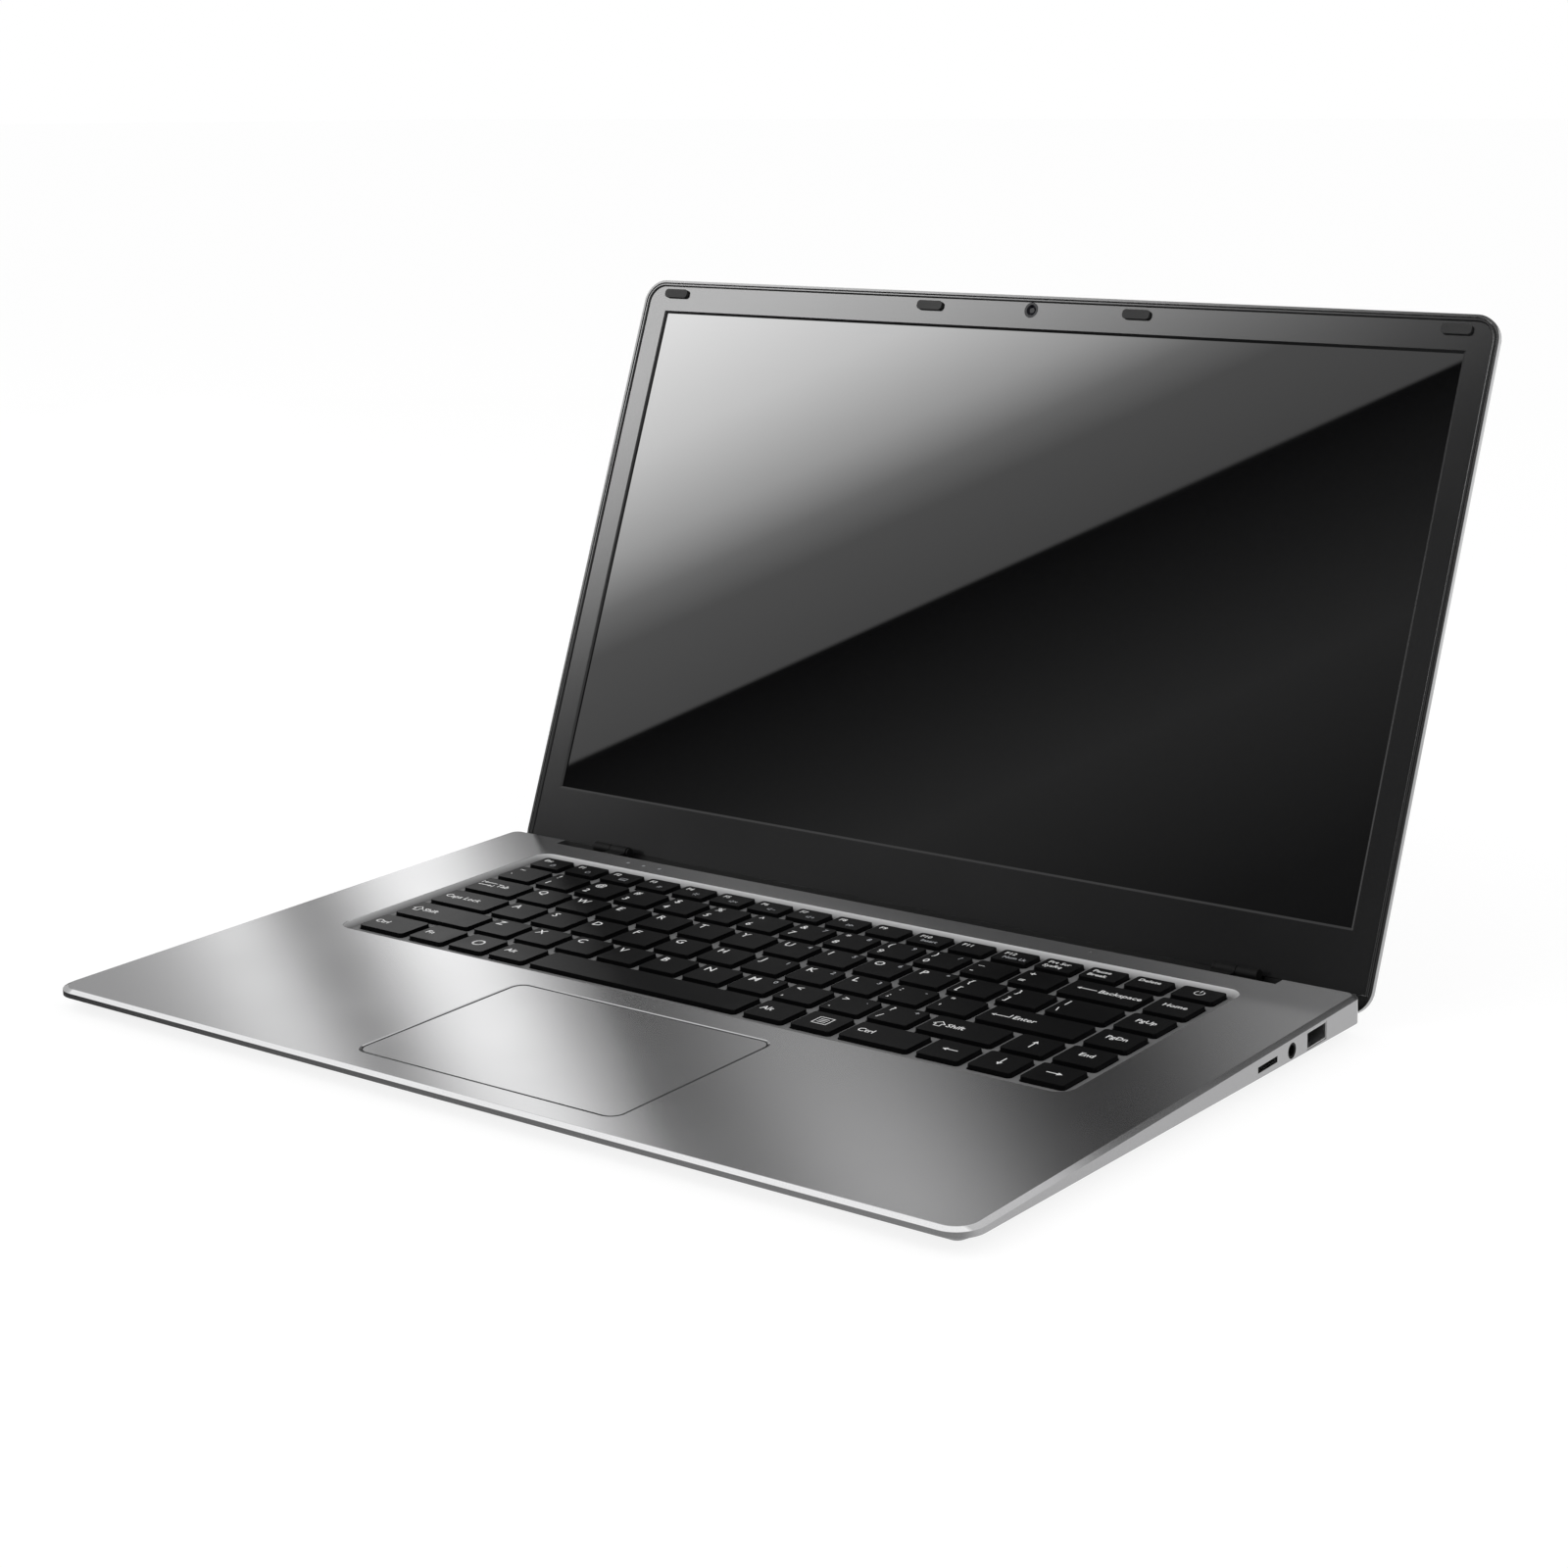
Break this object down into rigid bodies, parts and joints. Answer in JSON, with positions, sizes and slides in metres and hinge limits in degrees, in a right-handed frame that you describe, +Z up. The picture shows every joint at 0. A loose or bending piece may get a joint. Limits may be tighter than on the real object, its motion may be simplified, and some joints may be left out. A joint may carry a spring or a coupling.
{
  "type": "laptop computer",
  "caption": "Thin open laptop with a glossy dark screen in a black bezel, silver base, sunk keyboard, rocking touchpad, side sockets and two friction hinges.",
  "frame": {"origin": "middle of the box round the open laptop, on the table", "axes": "+X to the right of a person typing, +Y from the front edge to the back, +Z up"},
  "size_m": [0.369, 0.3167, 0.2239],
  "materials": {
    "silver": "satin",
    "dark_keys": "matte",
    "gloss_black": "gloss",
    "screen_glass": "gloss",
    "lens_glass": "gloss",
    "dark_plastic": "matte",
    "cover_plastic": "satin",
    "black_rubber": "matte",
    "bright_steel": "satin",
    "circuit_board": "satin",
    "foil": "satin",
    "white_sheet": "matte",
    "clear_pipe": "gloss"
  },
  "bodies": {
    "base": {"audio_jack": "dark_plastic", "battery_pack": "foil", "board_chips": "dark_plastic", "board_modules": "circuit_board", "bottom_cover": "cover_plastic", "bottom_screws": "bright_steel", "card_socket": "dark_plastic", "heat_spreader": "foil", "hinge_brackets": "bright_steel", "hinge_trough": "dark_plastic", "key_domes": "black_rubber", "keyboard_back_plate": "bright_steel", "keyboard_membrane": "dark_plastic", "mainboard": "circuit_board", "microphone": "bright_steel", "port_board": "circuit_board", "power_inlet": "dark_plastic", "rubber_feet": "black_rubber", "speakers": "dark_plastic", "status_lights": "clear_pipe", "top_case": "silver", "touchpad_tray": "bright_steel", "usb_shells": "bright_steel", "usb_tongues": "dark_plastic", "video_socket": "bright_steel"},
    "lid": {"lid_shell": "silver", "lid_bezel": "gloss_black", "lid_foot_strip": "dark_plastic", "display_cell": "screen_glass", "backlight": "white_sheet", "lid_boards": "circuit_board", "camera_lens": "lens_glass", "lid_bumpers": "black_rubber", "hinge_arms": "bright_steel", "hinge_pins": "bright_steel"},
    "touchpad": {"touchpad_plate": "silver", "touchpad_board": "circuit_board"},
    "function_keys": {"function_keys": "dark_keys"},
    "power_key": {"power_key": "dark_keys"},
    "number_keys": {"number_keys": "dark_keys"},
    "backspace_key": {"backspace_key": "dark_keys"},
    "tab_key": {"tab_key": "dark_keys"},
    "upper_letter_keys": {"upper_letter_keys": "dark_keys"},
    "backslash_key": {"backslash_key": "dark_keys"},
    "caps_key": {"caps_key": "dark_keys"},
    "home_letter_keys": {"home_letter_keys": "dark_keys"},
    "enter_key": {"enter_key": "dark_keys"},
    "left_shift_key": {"left_shift_key": "dark_keys"},
    "lower_letter_keys": {"lower_letter_keys": "dark_keys"},
    "right_shift_key": {"right_shift_key": "dark_keys"},
    "arrow_up_key": {"arrow_up_key": "dark_keys"},
    "left_ctrl_key": {"left_ctrl_key": "dark_keys"},
    "left_modifier_keys": {"left_modifier_keys": "dark_keys"},
    "space_bar": {"space_bar": "dark_keys"},
    "right_modifier_keys": {"right_modifier_keys": "dark_keys"},
    "right_ctrl_key": {"right_ctrl_key": "dark_keys"},
    "arrow_left_key": {"arrow_left_key": "dark_keys"},
    "arrow_down_key": {"arrow_down_key": "dark_keys"},
    "arrow_right_key": {"arrow_right_key": "dark_keys"},
    "paging_keys": {"paging_keys": "dark_keys"}
  },
  "joints": [
    {"name": "lid_hinge", "type": "hinge", "parent": "base", "child": "lid", "pos_m": [0, 0.06969, 0.01204], "axis": [1, 0, 0], "range_deg": [-17.3, 112.7]},
    {"name": "touchpad_click", "type": "hinge", "parent": "base", "child": "touchpad", "pos_m": [0, -0.07639, 0.00751], "axis": [1, 0, 0], "range_deg": [0, 0.28], "stiffness_Nm_per_rad": 2, "springref_deg": -0.57},
    {"name": "function_keys_press", "type": "slide", "parent": "base", "child": "function_keys", "axis": [0, -0.0288, 0.9996], "range_m": [-0.001, 0], "stiffness_N_per_m": 200, "springref_m": 0.002, "deforming": ["key_domes"]},
    {"name": "power_key_press", "type": "slide", "parent": "base", "child": "power_key", "axis": [0, -0.0288, 0.9996], "range_m": [-0.001, 0], "stiffness_N_per_m": 200, "springref_m": 0.002, "deforming": ["key_domes"]},
    {"name": "number_keys_press", "type": "slide", "parent": "base", "child": "number_keys", "axis": [0, -0.0288, 0.9996], "range_m": [-0.001, 0], "stiffness_N_per_m": 200, "springref_m": 0.002, "deforming": ["key_domes"]},
    {"name": "backspace_key_press", "type": "slide", "parent": "base", "child": "backspace_key", "axis": [0, -0.0288, 0.9996], "range_m": [-0.001, 0], "stiffness_N_per_m": 200, "springref_m": 0.002, "deforming": ["key_domes"]},
    {"name": "tab_key_press", "type": "slide", "parent": "base", "child": "tab_key", "axis": [0, -0.0288, 0.9996], "range_m": [-0.001, 0], "stiffness_N_per_m": 200, "springref_m": 0.002, "deforming": ["key_domes"]},
    {"name": "upper_letter_keys_press", "type": "slide", "parent": "base", "child": "upper_letter_keys", "axis": [0, -0.0288, 0.9996], "range_m": [-0.001, 0], "stiffness_N_per_m": 200, "springref_m": 0.002, "deforming": ["key_domes"]},
    {"name": "backslash_key_press", "type": "slide", "parent": "base", "child": "backslash_key", "axis": [0, -0.0288, 0.9996], "range_m": [-0.001, 0], "stiffness_N_per_m": 200, "springref_m": 0.002, "deforming": ["key_domes"]},
    {"name": "caps_key_press", "type": "slide", "parent": "base", "child": "caps_key", "axis": [0, -0.0288, 0.9996], "range_m": [-0.001, 0], "stiffness_N_per_m": 200, "springref_m": 0.002, "deforming": ["key_domes"]},
    {"name": "home_letter_keys_press", "type": "slide", "parent": "base", "child": "home_letter_keys", "axis": [0, -0.0288, 0.9996], "range_m": [-0.001, 0], "stiffness_N_per_m": 200, "springref_m": 0.002, "deforming": ["key_domes"]},
    {"name": "enter_key_press", "type": "slide", "parent": "base", "child": "enter_key", "axis": [0, -0.0288, 0.9996], "range_m": [-0.001, 0], "stiffness_N_per_m": 200, "springref_m": 0.002, "deforming": ["key_domes"]},
    {"name": "left_shift_key_press", "type": "slide", "parent": "base", "child": "left_shift_key", "axis": [0, -0.0288, 0.9996], "range_m": [-0.001, 0], "stiffness_N_per_m": 200, "springref_m": 0.002, "deforming": ["key_domes"]},
    {"name": "lower_letter_keys_press", "type": "slide", "parent": "base", "child": "lower_letter_keys", "axis": [0, -0.0288, 0.9996], "range_m": [-0.001, 0], "stiffness_N_per_m": 200, "springref_m": 0.002, "deforming": ["key_domes"]},
    {"name": "right_shift_key_press", "type": "slide", "parent": "base", "child": "right_shift_key", "axis": [0, -0.0288, 0.9996], "range_m": [-0.001, 0], "stiffness_N_per_m": 200, "springref_m": 0.002, "deforming": ["key_domes"]},
    {"name": "arrow_up_key_press", "type": "slide", "parent": "base", "child": "arrow_up_key", "axis": [0, -0.0288, 0.9996], "range_m": [-0.001, 0], "stiffness_N_per_m": 200, "springref_m": 0.002, "deforming": ["key_domes"]},
    {"name": "left_ctrl_key_press", "type": "slide", "parent": "base", "child": "left_ctrl_key", "axis": [0, -0.0288, 0.9996], "range_m": [-0.001, 0], "stiffness_N_per_m": 200, "springref_m": 0.002, "deforming": ["key_domes"]},
    {"name": "left_modifier_keys_press", "type": "slide", "parent": "base", "child": "left_modifier_keys", "axis": [0, -0.0288, 0.9996], "range_m": [-0.001, 0], "stiffness_N_per_m": 200, "springref_m": 0.002, "deforming": ["key_domes"]},
    {"name": "space_bar_press", "type": "slide", "parent": "base", "child": "space_bar", "axis": [0, -0.0288, 0.9996], "range_m": [-0.001, 0], "stiffness_N_per_m": 200, "springref_m": 0.002, "deforming": ["key_domes"]},
    {"name": "right_modifier_keys_press", "type": "slide", "parent": "base", "child": "right_modifier_keys", "axis": [0, -0.0288, 0.9996], "range_m": [-0.001, 0], "stiffness_N_per_m": 200, "springref_m": 0.002, "deforming": ["key_domes"]},
    {"name": "right_ctrl_key_press", "type": "slide", "parent": "base", "child": "right_ctrl_key", "axis": [0, -0.0288, 0.9996], "range_m": [-0.001, 0], "stiffness_N_per_m": 200, "springref_m": 0.002, "deforming": ["key_domes"]},
    {"name": "arrow_left_key_press", "type": "slide", "parent": "base", "child": "arrow_left_key", "axis": [0, -0.0288, 0.9996], "range_m": [-0.001, 0], "stiffness_N_per_m": 200, "springref_m": 0.002, "deforming": ["key_domes"]},
    {"name": "arrow_down_key_press", "type": "slide", "parent": "base", "child": "arrow_down_key", "axis": [0, -0.0288, 0.9996], "range_m": [-0.001, 0], "stiffness_N_per_m": 200, "springref_m": 0.002, "deforming": ["key_domes"]},
    {"name": "arrow_right_key_press", "type": "slide", "parent": "base", "child": "arrow_right_key", "axis": [0, -0.0288, 0.9996], "range_m": [-0.001, 0], "stiffness_N_per_m": 200, "springref_m": 0.002, "deforming": ["key_domes"]},
    {"name": "paging_keys_press", "type": "slide", "parent": "base", "child": "paging_keys", "axis": [0, -0.0288, 0.9996], "range_m": [-0.001, 0], "stiffness_N_per_m": 200, "springref_m": 0.002, "deforming": ["key_domes"]}
  ]
}
